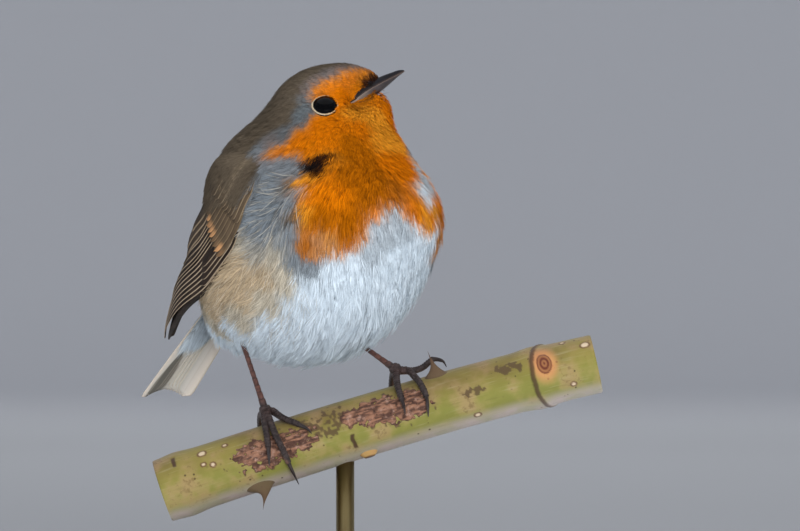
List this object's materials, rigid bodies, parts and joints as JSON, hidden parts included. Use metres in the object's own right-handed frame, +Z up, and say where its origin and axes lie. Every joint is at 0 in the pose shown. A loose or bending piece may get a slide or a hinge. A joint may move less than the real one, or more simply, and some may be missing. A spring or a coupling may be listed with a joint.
{
  "type": "european robin on a perch",
  "caption": "Life-size model of a fluffed-up european robin gripping a cut length of thorny stem, held by a round base and rod.",
  "frame": {"origin": "centre of the underside of the stand's round base", "axes": "+Z up; the perch runs along X and rises towards +X; the bird looks towards +X with its breast turned towards -Y"},
  "size_m": [0.1256, 0.1028, 0.1412],
  "materials": {
    "plumage_brown": "matt olive-brown feathers of the crown, back, wings and tail",
    "plumage_orange": "soft orange feathers of the face, throat and breast",
    "plumage_white": "loose white and buff feathers of the belly and flanks",
    "eye": "wet glossy black-brown",
    "bill": "smooth dark horn with a soft sheen",
    "leg": "scaly reddish-brown skin",
    "claw": "dark glossy horn",
    "bark": "smooth green rose bark with brown corky patches",
    "stand_wood": "dark turned wood, satin varnish",
    "stand_metal": "brushed antique brass"
  },
  "bodies": {
    "root": {"stand_base": "stand_wood", "stand_rod": "stand_metal", "perch": "bark", "head": "plumage_orange", "neck": "plumage_orange", "trunk": "plumage_white", "eye_right": "eye", "eye_left": "eye", "bill_upper": "bill", "bill_lower": "bill", "wing_right": "plumage_brown", "wing_left": "plumage_brown", "tail": "plumage_brown", "tarsus_right": "leg", "tarsus_left": "leg", "foot_right": "leg", "foot_left": "leg", "claw_right_inner": "claw", "claw_right_middle": "claw", "claw_right_outer": "claw", "claw_right_hind": "claw", "claw_left_inner": "claw", "claw_left_middle": "claw", "claw_left_outer": "claw", "claw_left_hind": "claw"}
  },
  "joints": []
}
